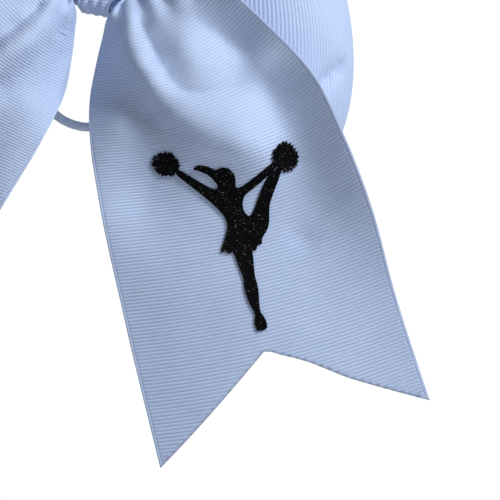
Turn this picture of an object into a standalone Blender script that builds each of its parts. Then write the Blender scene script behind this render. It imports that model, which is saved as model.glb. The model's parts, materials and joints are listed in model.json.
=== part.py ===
"""Cheer hair bow: 3 inch grosgrain ribbon gathered into two loops and two V-cut tails.

The bow hangs as it is worn. +Z is up, the front of the bow faces -Y, and the origin is on the
flat back of the centre wrap. Shapes are worked out in millimetres and stored in metres.
"""

import math

import bmesh
import bpy
import numpy as np

MM = 0.001

# Main ribbon
RIBBON_WIDTH = 76.2
RIBBON_SOLID = 1.0
TAIL_LENGTH = 157.0
NOTCH_DEPTH = 27.1
NOTCH_SHARE = 0.482
TAIL_HALF_COLUMNS = 9
TAIL_ROWS = 40

# Tail folds: the level that they stand out from, and how much deeper they are than in DRAPE
FOLD_LEVEL = -33.0
FOLD_RELIEF = 1.3

# Loops
LOOP_PIVOT = (13.0, -16.0)
LOOP_ROOT_RADIUS = 3.9
LOOP_ROOT_HALF_HEIGHT = 10.0
LOOP_TILT = 16.0
LOOP_ROOT_Z = 1.0
LOOP_SAG = 3.8
LOOP_BULGE = 7.0
LOOP_BULGE_LEAN = 0.35
LOOP_OPENS_FROM_X = 10.0
LOOP_FULL_WIDTH_X = 52.0
LOOP_COLUMNS = 12
LOOP_STATIONS = 40
LOOP_ROOT_STATIONS = 7

# Knot
WRAP_DEPTH = 26.0
WRAP_HEIGHT = 34.0
WRAP_HALF_WIDTH = 9.5
WRAP_PINCHED_HALF_WIDTH = 4.4
WRAP_PINCH_FROM = 7.0
WRAP_PINCH_TO = 14.0
WRAP_SOLID = 1.2
WRAP_CORNER = 3.4
KNOT_Y = -15.0
GATHER_HALF_LENGTH = 8.2
GATHER_HALF_DEPTH = 7.5
GATHER_HALF_HEIGHT = 12.5
GATHER_PLEATS = 12
GATHER_PLEAT = 0.45
KNOT_STEPS = 48
KNOT_SQUARENESS = 0.6
TIE_WIDTH = 3.6
TIE_THICKNESS = 1.1
TIE_SQUEEZE = 1.2
TIE_HEAD = (5.2, 4.2, 5.4)
TIE_HEAD_REACH = 1.6
TIE_HEAD_Z = 4.0
TIE_HEAD_BEVEL = 0.5
WRAP_DAB = (5.0, 1.5, 8.0)
WRAP_DAB_PLACE = (5.0, -23.65, 0.0)
ELASTIC_DAB = (3.4, 1.7, 4.0)
ELASTIC_DAB_PLACE = (6.5, -6.1, -9.0)
GAP = 0.3

# Where the tails leave the knot, and turn
TAIL_PIVOT = (11.8, -22.8, 8.0)

# Ponytail elastic
ELASTIC_DIAMETER = 2.7
ELASTIC_Y = -3.6
ELASTIC_EXIT_X = 8.6
ELASTIC_EXIT_Z = -12.5
CRIMP_BORE = 3.3
CRIMP_OUTSIDE = 4.0
CRIMP_LENGTH = 9.0

# Glitter decal on the right tail
DECAL_PLACE = (38.3, 58.7)
DECAL_TURN = -2.6
DECAL_LIFT = 0.45
DECAL_SOLID = 0.8
DECAL_CUT_SPACING = 4.0
DECAL_WELD = 0.02

# Right tail: (distance from the tips along the ribbon, x, z) down its two selvages
INNER_SELVAGE = (
    (0.0, 41.7, -138.4), (40.0, 25.2, -101.1), (78.0, 11.6, -67.7), (96.0, 6.8, -54.0),
    (115.0, 3.6, -39.5), (126.0, 3.6, -30.5), (137.0, 4.1, -22.5), (147.0, 4.9, -16.5),
    (157.0, 9.4, -10.5),
)
OUTER_SELVAGE = (
    (0.0, 112.1, -106.3), (31.0, 97.3, -78.9), (56.0, 86.3, -56.5), (77.0, 75.2, -38.7),
    (96.0, 63.8, -23.5), (115.0, 48.1, -11.6), (128.0, 37.0, -4.6), (143.0, 24.0, 2.8),
    (157.0, 11.8, 7.5),
)
# How steeply a rib leaves the inner selvage and meets the outer one, in degrees
RIB_SLOPES = (
    (0.0, 17.0, 31.0), (50.0, 16.0, 36.0), (78.0, 15.0, 46.0), (96.0, 12.0, 50.0),
    (115.0, 6.0, 55.0), (128.0, 10.0, 62.0), (143.0, 40.0, 75.0), (157.0, 88.0, 88.0),
)
# Where the tail drapes: (x, z, y) of points that its cloth passes through
DRAPE = (
    # the open lower part
    (42.0, -138.0, -29.5), (77.0, -122.0, -31.5), (111.0, -106.0, -30.5),
    (24.0, -93.0, -30.5), (38.0, -90.0, -31.8), (62.0, -88.0, -32.2), (97.0, -79.0, -31.5),
    (11.0, -62.4, -32.3), (14.5, -72.0, -33.6), (24.0, -66.0, -32.2), (45.0, -68.0, -33.0),
    (36.0, -61.0, -33.9), (18.0, -57.0, -32.8),
    # the deep hollow beside the knot
    (4.2, -23.5, -24.5), (3.7, -31.0, -24.5), (4.6, -42.0, -26.5), (7.0, -53.0, -31.0),
    (7.0, -30.0, -27.0), (9.0, -37.0, -28.8), (12.5, -46.0, -32.6),
    # the foot of the roll that leaves the knot
    (6.0, -22.0, -27.5), (8.6, -27.5, -30.5), (12.3, -33.2, -33.2), (16.0, -38.2, -34.1),
    (20.5, -41.9, -35.0), (24.0, -47.0, -35.3), (29.0, -50.0, -35.8), (34.5, -53.0, -36.1),
    (41.0, -54.0, -36.1), (48.0, -54.0, -36.1),
    # the crest of the roll, which runs out across the tail
    (8.7, -17.2, -31.5), (12.3, -23.5, -35.6), (15.5, -29.0, -38.3), (19.3, -33.4, -39.1),
    (23.2, -37.7, -39.4), (28.3, -41.0, -40.1), (34.2, -43.4, -40.6), (40.8, -45.2, -40.5),
    (47.0, -46.4, -40.1), (53.5, -47.3, -38.2),
    # the far side of the roll
    (17.3, -26.5, -37.3), (21.7, -30.5, -38.5), (26.3, -33.5, -38.7), (45.0, -37.0, -38.8),
    (50.0, -41.0, -38.6), (38.0, -37.0, -39.7), (46.0, -34.0, -37.4), (52.0, -38.0, -37.0),
    # the crease above the roll
    (9.9, -11.8, -27.5), (14.9, -19.0, -33.3), (19.7, -25.2, -35.7), (23.5, -30.0, -37.1),
    (27.6, -32.5, -38.0), (33.8, -32.5, -38.6),
    # the broad upper fold
    (13.0, -11.0, -29.0), (17.0, -15.3, -33.0), (21.7, -19.3, -35.3), (27.0, -22.5, -37.4),
    (31.0, -26.8, -37.7), (33.0, -23.5, -36.7), (35.0, -21.0, -35.6), (38.0, -26.5, -36.7),
    # the valley inside the outer selvage
    (26.0, -13.0, -34.9), (30.5, -14.8, -35.2), (37.5, -17.8, -34.2), (43.5, -20.0, -34.4),
    (43.5, -28.0, -36.1), (48.5, -23.5, -36.8), (51.0, -29.0, -35.5), (55.5, -33.0, -35.5),
    (58.0, -40.0, -35.9),
    (63.0, -47.0, -34.5), (71.0, -58.0, -33.0), (80.0, -70.0, -32.0),
    # the outer selvage, which curls forward
    (24.0, 2.8, -32.5), (31.0, -1.5, -36.5), (39.1, -6.4, -38.7), (47.3, -10.6, -38.4),
    (56.1, -16.0, -39.3), (63.4, -23.2, -40.3), (68.7, -30.7, -40.6), (73.2, -38.4, -39.8),
    (79.3, -50.0, -37.5), (86.0, -60.2, -35.0),
    # its end at the knot
    (11.8, 7.5, -25.2), (9.8, -10.0, -25.2),
)
# Right loop seen from above: (x, y) of the cloth round from the front of its root to the back
LOOP_PLAN = (
    (13.0, -19.9), (22.0, -25.5), (34.0, -28.8), (47.0, -28.0), (57.0, -23.0), (62.2, -17.8),
    (63.8, -14.5), (62.2, -11.2), (55.0, -8.6), (42.0, -7.6), (28.0, -8.8), (13.0, -12.1),
)
# The elastic's free loop: (x, z) from its right exit round to its left one
ELASTIC_ROUTE = (
    (8.6, -12.5), (10.4, -12.8), (13.0, -14.8), (14.4, -18.6), (15.0, -25.0), (14.6, -34.0),
    (11.2, -42.6), (3.4, -47.6), (-5.4, -46.4), (-12.0, -39.6), (-14.8, -30.0), (-14.9, -22.0),
    (-14.0, -16.8), (-12.0, -13.8), (-10.0, -12.7), (-8.6, -12.5),
)
STRAND_END_Z = -30.0

# Cheerleader silhouette in a heel stretch: (across, up), anticlockwise from the left hand
FIGURE = (
    (-15.2, 24.7), (-10.6, 18.9), (-7.0, 14.2), (-5.3, 11.6), (-3.7, 8.6), (-3.5, 5.6),
    (-5.2, 2.0), (-7.3, -2.0), (-5.7, -1.6), (-4.9, -2.8), (-3.6, -2.0), (-3.0, -6.5),
    (-2.2, -10.6), (-2.6, -13.4), (-2.1, -17.4), (-0.8, -21.2), (-1.6, -23.4), (-1.5, -25.3),
    (-1.2, -26.1), (1.0, -26.0), (1.8, -25.5), (1.7, -22.8), (0.6, -20.8), (0.9, -18.0),
    (1.4, -13.7), (1.0, -10.2), (1.7, -4.3), (1.6, -2.6), (2.9, -3.1), (3.4, -1.5),
    (4.9, -1.5), (5.2, 0.3), (7.3, 2.5), (8.3, 4.6), (9.1, 8.0), (9.7, 10.1),
    (12.0, 13.8), (14.6, 17.4), (16.2, 20.0), (15.0, 20.2), (11.2, 18.4), (8.0, 14.4),
    (5.3, 9.9), (3.3, 7.2), (1.9, 9.4), (2.2, 12.2), (3.3, 14.5), (8.0, 16.8),
    (15.8, 21.1), (15.0, 22.6), (7.3, 19.0), (3.1, 17.0), (1.3, 17.0), (1.9, 19.2),
    (2.0, 21.5), (0.8, 23.5), (-1.2, 24.3), (-3.2, 23.6), (-5.0, 25.3), (-7.6, 26.2),
    (-9.8, 25.4), (-7.4, 24.2), (-5.4, 22.6), (-4.2, 20.6), (-3.4, 18.6), (-4.6, 17.2),
    (-9.1, 21.2), (-14.2, 26.3),
)
POMPOMS = ((-17.2, 28.0), (18.0, 22.1))
POMPOM_RADII = (4.4, 3.5)
POMPOM_SPIKES = 14

PARTS = "cheer_hair_bow"
CUTTERS = "cutters"


def clear_scene():
    for obj in list(bpy.data.objects):
        bpy.data.objects.remove(obj, do_unlink=True)


def collection(name):
    made = bpy.data.collections.new(name)
    bpy.context.scene.collection.children.link(made)
    return made


def material(name, colour, roughness, metallic=0.0):
    made = bpy.data.materials.new(name)
    made.use_nodes = True
    shader = made.node_tree.nodes["Principled BSDF"]
    shader.inputs["Base Color"].default_value = (*colour, 1.0)
    shader.inputs["Roughness"].default_value = roughness
    shader.inputs["Metallic"].default_value = metallic
    return made


def smoothstep(value):
    value = np.clip(value, 0.0, 1.0)
    return value * value * (3.0 - 2.0 * value)


def follow(table, key):
    """A smooth curve through rows of (key, values...), read at one or more keys."""
    table = np.asarray(table, float)
    keys, values = table[:, 0], table[:, 1:]
    slopes = np.gradient(values, keys, axis=0)
    key = np.asarray(key, float)
    row = np.clip(np.searchsorted(keys, key) - 1, 0, len(keys) - 2)
    span = (keys[row + 1] - keys[row])[..., None]
    part = (key - keys[row])[..., None] / span
    return hermite(values[row], values[row + 1], slopes[row] * span, slopes[row + 1] * span, part)


def hermite(start, end, start_slope, end_slope, part):
    square, cube = part**2, part**3
    return (
        (2 * cube - 3 * square + 1) * start
        + (cube - 2 * square + part) * start_slope
        + (3 * square - 2 * cube) * end
        + (cube - square) * end_slope
    )


def smooth_path(points, count):
    """Points evenly spread along a smooth curve through the given ones."""
    points = np.asarray(points, float)
    lengths = np.linalg.norm(np.diff(points, axis=0), axis=1)
    keys = np.concatenate([[0.0], np.cumsum(lengths)])
    return follow(np.column_stack([keys, points]), np.linspace(0.0, keys[-1], count))


def thin_plate(distance):
    return distance**2 * np.log(distance + 1e-9)


def fit_drape():
    """Weights of the thin plate that passes through the DRAPE points."""
    points = np.asarray(DRAPE, float)
    places, depths = points[:, :2], points[:, 2]
    between = np.linalg.norm(places[:, None] - places[None], axis=2)
    flat = np.column_stack([np.ones(len(points)), places])
    system = np.block([[thin_plate(between), flat], [flat.T, np.zeros((3, 3))]])
    return np.linalg.solve(system, np.concatenate([depths, np.zeros(3)]))


def drape_depth(x, z, weights):
    places = np.asarray(DRAPE, float)[:, :2]
    away = np.sqrt((x[..., None] - places[:, 0]) ** 2 + (z[..., None] - places[:, 1]) ** 2)
    count = len(places)
    plane = weights[count] + weights[count + 1] * x + weights[count + 2] * z
    depth = thin_plate(away) @ weights[:count] + plane
    return FOLD_LEVEL + FOLD_RELIEF * (depth - FOLD_LEVEL)


def tail_surface(across, along, weights):
    """Points of the right tail's cloth. across is 0 to 1 from the inner selvage to the outer."""
    inner, outer = follow(INNER_SELVAGE, along), follow(OUTER_SELVAGE, along)
    slopes = np.radians(follow(RIB_SLOPES, along))
    chord = np.linalg.norm(outer - inner, axis=-1, keepdims=True)
    leave = chord * np.stack([np.cos(slopes[..., 0]), np.sin(slopes[..., 0])], axis=-1)
    arrive = chord * np.stack([np.cos(slopes[..., 1]), np.sin(slopes[..., 1])], axis=-1)
    place = hermite(inner, outer, leave, arrive, across[..., None])
    x, z = place[..., 0], place[..., 1]
    return np.stack([x, drape_depth(x, z, weights), z], axis=-1)


def tail_grid(weights):
    """Rows across the tail, the first along its V cut and the last in the knot."""
    inner = np.linspace(0.0, NOTCH_SHARE, TAIL_HALF_COLUMNS + 1)
    outer = np.linspace(NOTCH_SHARE, 1.0, TAIL_HALF_COLUMNS + 1)[1:]
    across = np.concatenate([inner, outer])[None, :]
    cut = NOTCH_DEPTH * np.minimum(across / NOTCH_SHARE, (1.0 - across) / (1.0 - NOTCH_SHARE))
    rows = np.linspace(0.0, 1.0, TAIL_ROWS + 1)[:, None]
    along = cut + rows * (TAIL_LENGTH - cut)
    return tail_surface(np.broadcast_to(across, along.shape), along, weights)


def loop_grid():
    """Rows round the right loop, each running across the ribbon from its lower to upper edge."""
    plan = smooth_path(LOOP_PLAN, LOOP_STATIONS - LOOP_ROOT_STATIONS)
    turn = np.radians(np.linspace(90.0, 270.0, LOOP_ROOT_STATIONS + 2)[1:-1])
    root = np.column_stack([
        LOOP_PIVOT[0] + LOOP_ROOT_RADIUS * np.cos(turn),
        LOOP_PIVOT[1] + LOOP_ROOT_RADIUS * np.sin(turn),
    ])
    plan = np.vstack([plan, root])
    opening = (plan[:, 0] - LOOP_OPENS_FROM_X) / (LOOP_FULL_WIDTH_X - LOOP_OPENS_FROM_X)
    opened = smoothstep(opening)[:, None]
    half = LOOP_ROOT_HALF_HEIGHT + (RIBBON_WIDTH / 2 - LOOP_ROOT_HALF_HEIGHT) * opened
    middle = LOOP_ROOT_Z - LOOP_SAG * opened
    tilt = np.radians(LOOP_TILT) * opened
    side = np.linspace(-1.0, 1.0, LOOP_COLUMNS + 1)[None, :] * half
    share = side / half
    bulge = LOOP_BULGE * opened * (1.0 - share**2) * (1.0 - LOOP_BULGE_LEAN * share)
    x = plan[:, :1] - side * np.sin(tilt) + bulge
    z = middle + side * np.cos(tilt)
    return np.stack([x, np.broadcast_to(plan[:, 1:], x.shape), z], axis=-1)


def mirrored(grid):
    """The left-hand twin, with its columns turned round so that its faces keep their side."""
    return (grid * (-1.0, 1.0, 1.0))[:, ::-1]


def mesh_object(name, mesh, where, finish):
    obj = bpy.data.objects.new(name, mesh)
    where.objects.link(obj)
    mesh.materials.append(finish)
    mesh.shade_smooth()
    return obj


def sheet(name, grid, thickness, where, finish, closed=False):
    """An open sheet through a grid of points, given its thickness by Solidify."""
    form = bmesh.new()
    rows = [[form.verts.new(point * MM) for point in row] for row in grid]
    if closed:
        rows.append(rows[0])
    for first, second in zip(rows, rows[1:]):
        for column in range(len(first) - 1):
            corners = (first[column], first[column + 1], second[column + 1], second[column])
            form.faces.new(corners)
    bmesh.ops.recalc_face_normals(form, faces=form.faces)
    mesh = bpy.data.meshes.new(name)
    form.to_mesh(mesh)
    form.free()
    obj = mesh_object(name, mesh, where, finish)
    solid = obj.modifiers.new("Solidify", "SOLIDIFY")
    solid.thickness = thickness * MM
    solid.offset = 0.0
    return obj


def round_section(half_depth, half_height, corner, steps):
    """(y, z) round a rectangle with rounded corners, centred on 0, starting up its +Y side."""
    points = []
    for quarter, (side_y, side_z) in enumerate(((1, 1), (-1, 1), (-1, -1), (1, -1))):
        if quarter in (0, 2):
            for share in np.linspace(-0.9, 0.9, 7):
                points.append((side_y * half_depth, side_z * share * (half_height - corner)))
        for step in range(steps + 1):
            angle = math.pi / 2 * (quarter + step / steps)
            points.append((
                side_y * (half_depth - corner) + corner * math.cos(angle),
                side_z * (half_height - corner) + corner * math.sin(angle),
            ))
    return points


def band(name, section, half_widths, thickness, where, finish):
    """A closed strip lying round a section in the YZ plane, wound about the X axis."""
    side = np.linspace(-1.0, 1.0, 5)
    grid = np.array([
        [(half * s, y, z) for s in side]
        for (y, z), half in zip(section, half_widths)
    ])
    return sheet(name, grid, thickness, where, finish, closed=True)


def make_wrap(where, finish):
    inset = WRAP_SOLID / 2
    flat = round_section(WRAP_DEPTH / 2 - inset, WRAP_HEIGHT / 2 - inset, WRAP_CORNER, 5)
    section = [(y - WRAP_DEPTH / 2, z) for y, z in flat]
    pinch = WRAP_HALF_WIDTH - WRAP_PINCHED_HALF_WIDTH
    heights = np.abs([z for _, z in section])
    turned = smoothstep((heights - WRAP_PINCH_FROM) / (WRAP_PINCH_TO - WRAP_PINCH_FROM))
    halves = WRAP_HALF_WIDTH - pinch * turned
    return band("centre_wrap", section, halves, WRAP_SOLID, where, finish)


def knot_section(half_depth, half_height, inset=None):
    """(y, z) round the knot's squarish oval. inset gives how far each point is drawn in."""
    points = []
    for step in range(KNOT_STEPS):
        angle = math.tau * step / KNOT_STEPS
        drawn = inset(angle) if inset else 0.0
        power_y = math.copysign(abs(math.cos(angle)) ** KNOT_SQUARENESS, math.cos(angle))
        power_z = math.copysign(abs(math.sin(angle)) ** KNOT_SQUARENESS, math.sin(angle))
        points.append((KNOT_Y + (half_depth - drawn) * power_y, (half_height - drawn) * power_z))
    return points


def pleats(angle):
    return GATHER_PLEAT * (1.0 + math.cos(GATHER_PLEATS * angle))


def make_gather(where, finish):
    """The pleated middle of the ribbon, squeezed to a waist where the cable tie sits."""
    waist = knot_section(GATHER_HALF_DEPTH - TIE_SQUEEZE, GATHER_HALF_HEIGHT - TIE_SQUEEZE)
    full = knot_section(GATHER_HALF_DEPTH, GATHER_HALF_HEIGHT, pleats)
    stations = ((-1.0, full), (-0.7, full), (-0.34, full), (-0.28, waist),
                (0.28, waist), (0.34, full), (0.7, full), (1.0, full))
    form = bmesh.new()
    rings = []
    for station, section in stations:
        x = station * GATHER_HALF_LENGTH * MM
        rings.append([form.verts.new((x, y * MM, z * MM)) for y, z in section])
    for first, second in zip(rings, rings[1:]):
        for step in range(KNOT_STEPS):
            after = (step + 1) % KNOT_STEPS
            form.faces.new((first[step], second[step], second[after], first[after]))
    form.faces.new(rings[0])
    form.faces.new(rings[-1])
    bmesh.ops.recalc_face_normals(form, faces=form.faces)
    mesh = bpy.data.meshes.new("gathered_centre")
    form.to_mesh(mesh)
    form.free()
    return mesh_object("gathered_centre", mesh, where, finish)


def make_cable_tie(where, cutters, finish):
    """A strap pulled round the gather, joined to the ratchet head behind it."""
    clear = GAP + TIE_THICKNESS / 2 - TIE_SQUEEZE
    section = knot_section(GATHER_HALF_DEPTH + clear, GATHER_HALF_HEIGHT + clear)
    halves = [TIE_WIDTH / 2] * len(section)
    strap = band("cable_tie", section, halves, TIE_THICKNESS, where, finish)
    back = KNOT_Y + GATHER_HALF_DEPTH + clear
    place = (0.0, back + TIE_HEAD_REACH, TIE_HEAD_Z)
    head = box("cable_tie_head", TIE_HEAD, place, cutters, finish)
    bevel = head.modifiers.new("Bevel", "BEVEL")
    bevel.width = TIE_HEAD_BEVEL * MM
    bevel.segments = 2
    head.hide_render = True
    head.display_type = "WIRE"
    join = strap.modifiers.new("Head", "BOOLEAN")
    join.operation = "UNION"
    join.object = head
    return strap


def box(name, size, centre, where, finish):
    form = bmesh.new()
    bmesh.ops.create_cube(form, size=1.0)
    bmesh.ops.scale(form, vec=[value * MM for value in size], verts=form.verts)
    bmesh.ops.translate(form, vec=[value * MM for value in centre], verts=form.verts)
    mesh = bpy.data.meshes.new(name)
    form.to_mesh(mesh)
    form.free()
    return mesh_object(name, mesh, where, finish)


def glue_dab(name, size, centre, where, finish):
    """A pressed drop of hot glue."""
    form = bmesh.new()
    bmesh.ops.create_uvsphere(form, u_segments=14, v_segments=8, radius=0.5)
    bmesh.ops.scale(form, vec=[value * MM for value in size], verts=form.verts)
    mesh = bpy.data.meshes.new(name)
    form.to_mesh(mesh)
    form.free()
    obj = mesh_object(name, mesh, where, finish)
    obj.location = [value * MM for value in centre]
    return obj


def tube(name, points, where, finish):
    """A length of the round elastic along a list of points."""
    curve = bpy.data.curves.new(name, "CURVE")
    curve.dimensions = "3D"
    curve.bevel_depth = ELASTIC_DIAMETER / 2 * MM
    curve.bevel_resolution = 2
    curve.use_fill_caps = True
    spline = curve.splines.new("POLY")
    spline.points.add(len(points) - 1)
    for slot, point in zip(spline.points, points):
        slot.co = (*(np.asarray(point) * MM), 1.0)
    obj = bpy.data.objects.new(name, curve)
    where.objects.link(obj)
    curve.materials.append(finish)
    return obj


def make_elastic(where, cord, metal):
    inside = ELASTIC_EXIT_X - GAP
    anchor = [(x, ELASTIC_Y, ELASTIC_EXIT_Z) for x in np.linspace(-inside, inside, 6)]
    tube("elastic_anchor", anchor, where, cord)
    route = smooth_path(ELASTIC_ROUTE, 57)
    route = [(x, ELASTIC_Y, z) for x, z in route]
    lower = [point for point in route if point[2] < STRAND_END_Z]
    right = [point for point in route if point[2] >= STRAND_END_Z and point[0] > 0]
    left = [point for point in route if point[2] >= STRAND_END_Z and point[0] < 0]
    tube("elastic_strand_right", right, where, cord)
    tube("elastic_strand_left", left, where, cord)
    tube("elastic_bend", lower, where, cord)
    make_crimp(where, metal)


def make_crimp(where, metal):
    """The sleeve that joins the elastic's ends, turned about the elastic."""
    half, inner, outer = CRIMP_LENGTH / 2, CRIMP_BORE / 2, CRIMP_OUTSIDE / 2
    profile = ((half, outer), (-half, outer), (-half, inner), (half, inner))
    mesh = bpy.data.meshes.new("elastic_crimp")
    points = [(x * MM, 0.0, radius * MM) for x, radius in profile]
    mesh.from_pydata(points, [(0, 1), (1, 2), (2, 3), (3, 0)], [])
    obj = mesh_object("elastic_crimp", mesh, where, metal)
    obj.location = (0.0, ELASTIC_Y * MM, ELASTIC_EXIT_Z * MM)
    turn = obj.modifiers.new("Screw", "SCREW")
    turn.axis = "X"
    turn.steps = 20
    turn.render_steps = 20
    turn.use_merge_vertices = True
    turn.merge_threshold = 0.00001
    return obj


def flat_prism(name, outline, where, finish):
    """An upright prism on a closed outline in the XY plane, one unit high."""
    form = bmesh.new()
    corners = [form.verts.new((x, y, 0.0)) for x, y in outline]
    base = form.faces.new(corners)
    raised = bmesh.ops.extrude_face_region(form, geom=[base])
    tops = [item for item in raised["geom"] if isinstance(item, bmesh.types.BMVert)]
    bmesh.ops.translate(form, vec=(0.0, 0.0, 1.0), verts=tops)
    bmesh.ops.recalc_face_normals(form, faces=form.faces)
    mesh = bpy.data.meshes.new(name)
    form.to_mesh(mesh)
    form.free()
    return mesh_object(name, mesh, where, finish)


def pompom_outline(centre):
    long, short = POMPOM_RADII
    points = []
    for spike in range(2 * POMPOM_SPIKES):
        angle = math.pi * spike / POMPOM_SPIKES
        radius = short if spike % 2 else long
        points.append((
            centre[0] + radius * math.cos(angle),
            centre[1] + radius * math.sin(angle),
        ))
    return points


def make_decal(where, cutters, finish, weights):
    """The silhouette as one flat prism, cut into a grid and laid over the tail's cloth."""
    decal = flat_prism("cheerleader_decal", FIGURE, where, finish)
    for number, centre in enumerate(POMPOMS):
        pompom = flat_prism(f"pompom_{number}", pompom_outline(centre), cutters, finish)
        pompom.hide_render = True
        pompom.display_type = "WIRE"
        join = decal.modifiers.new("Pompom", "BOOLEAN")
        join.operation = "UNION"
        join.object = pompom
    graph = bpy.context.evaluated_depsgraph_get()
    joined = bpy.data.meshes.new_from_object(decal.evaluated_get(graph))
    form = bmesh.new()
    form.from_mesh(joined)
    bpy.data.meshes.remove(joined)
    bmesh.ops.triangulate(form, faces=form.faces)
    for axis, low, high in ((0, -20.0, 20.0), (1, -24.0, 28.0)):
        for place in np.arange(low, high + 0.1, DECAL_CUT_SPACING):
            at = [0.0, 0.0, 0.0]
            normal = [0.0, 0.0, 0.0]
            at[axis] = float(place)
            normal[axis] = 1.0
            everything = form.verts[:] + form.edges[:] + form.faces[:]
            bmesh.ops.bisect_plane(form, geom=everything, plane_co=at, plane_no=normal)
    bmesh.ops.remove_doubles(form, verts=form.verts, dist=DECAL_WELD)
    bmesh.ops.triangulate(form, faces=form.faces)
    for vert in form.verts:
        vert.co = lay_on_tail(vert.co, weights)
    decal.modifiers.clear()
    form.to_mesh(decal.data)
    form.free()
    return decal


def lay_on_tail(point, weights):
    """Moves a point of the flat decal, with height 0 or 1, onto the front of the right tail."""
    turn = math.radians(DECAL_TURN)
    beside = math.cos(turn) * point[0] - math.sin(turn) * point[1]
    above = math.sin(turn) * point[0] + math.cos(turn) * point[1]
    across = (DECAL_PLACE[0] + beside) / RIBBON_WIDTH
    along = DECAL_PLACE[1] + above
    step = 0.5
    places = np.array([across, across + step / RIBBON_WIDTH, across])
    lengths = np.array([along, along, along + step])
    here, beside, above = tail_surface(places, lengths, weights)
    normal = np.cross(beside - here, above - here)
    normal /= np.linalg.norm(normal)
    lift = RIBBON_SOLID / 2 + DECAL_LIFT + point[2] * DECAL_SOLID
    return (here + normal * lift) * MM


def on_side(side, place):
    """A right-hand place, or its mirror image when side is -1."""
    return (side * place[0], place[1], place[2])


def hinge_empty(name, place, children, where):
    """An empty on a moving piece's joint axis, with the piece as its child."""
    pivot = bpy.data.objects.new(name, None)
    pivot.location = [value * MM for value in place]
    where.objects.link(pivot)
    bpy.context.view_layer.update()
    for child in children:
        child.parent = pivot
        child.matrix_parent_inverse = pivot.matrix_world.inverted()


def main():
    clear_scene()
    parts, cutters = collection(PARTS), collection(CUTTERS)
    ribbon = material("white_grosgrain", (0.72, 0.78, 0.90), 0.55)
    wrap = material("white_wrap_ribbon", (0.72, 0.78, 0.90), 0.55)
    glitter = material("black_glitter_vinyl", (0.012, 0.012, 0.014), 0.35)
    cord = material("white_elastic", (0.62, 0.66, 0.72), 0.7)
    nylon = material("natural_nylon", (0.80, 0.80, 0.76), 0.4)
    glue = material("hot_glue", (0.78, 0.76, 0.66), 0.3)
    metal = material("crimp_metal", (0.65, 0.65, 0.66), 0.35, 1.0)

    weights = fit_drape()
    tail, loop = tail_grid(weights), loop_grid()
    right_tail = sheet("right_tail", tail, RIBBON_SOLID, parts, ribbon)
    left_tail = sheet("left_tail", mirrored(tail), RIBBON_SOLID, parts, ribbon)
    right_loop = sheet("right_loop", loop, RIBBON_SOLID, parts, ribbon, closed=True)
    left_loop = sheet("left_loop", mirrored(loop), RIBBON_SOLID, parts, ribbon, closed=True)
    decal = make_decal(parts, cutters, glitter, weights)

    make_gather(parts, ribbon)
    make_wrap(parts, wrap)
    make_cable_tie(parts, cutters, nylon)
    for word, side in (("left", -1.0), ("right", 1.0)):
        place = on_side(side, WRAP_DAB_PLACE)
        glue_dab(f"wrap_glue_dab_{word}", WRAP_DAB, place, parts, glue)
        place = on_side(side, ELASTIC_DAB_PLACE)
        glue_dab(f"elastic_glue_dab_{word}", ELASTIC_DAB, place, parts, glue)
    make_elastic(parts, cord, metal)

    loop_pivot = (*LOOP_PIVOT, 0.0)
    hinge_empty("right_tail_hinge", TAIL_PIVOT, (right_tail, decal), parts)
    hinge_empty("left_tail_hinge", on_side(-1.0, TAIL_PIVOT), (left_tail,), parts)
    hinge_empty("right_loop_hinge", loop_pivot, (right_loop,), parts)
    hinge_empty("left_loop_hinge", on_side(-1.0, loop_pivot), (left_loop,), parts)
    swinging = [bpy.data.objects[f"elastic_{name}"] for name in
                ("strand_left", "strand_right", "bend")]
    hinge_empty("elastic_hinge", (0.0, ELASTIC_Y, ELASTIC_EXIT_Z), swinging, parts)


main()
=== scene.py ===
"""Cheer hair bow: the finished looks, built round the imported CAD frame.

The ribbons are fine woven meshes with real grosgrain ribs. They follow the same surfaces as the
CAD sheets, so the same named tables are repeated here. The sharp creases, pleats and ripples are
only here. Shapes are worked out in millimetres.
"""

import json
import math

import bmesh
import bpy
import numpy as np
from mathutils import Matrix, Vector

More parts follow.
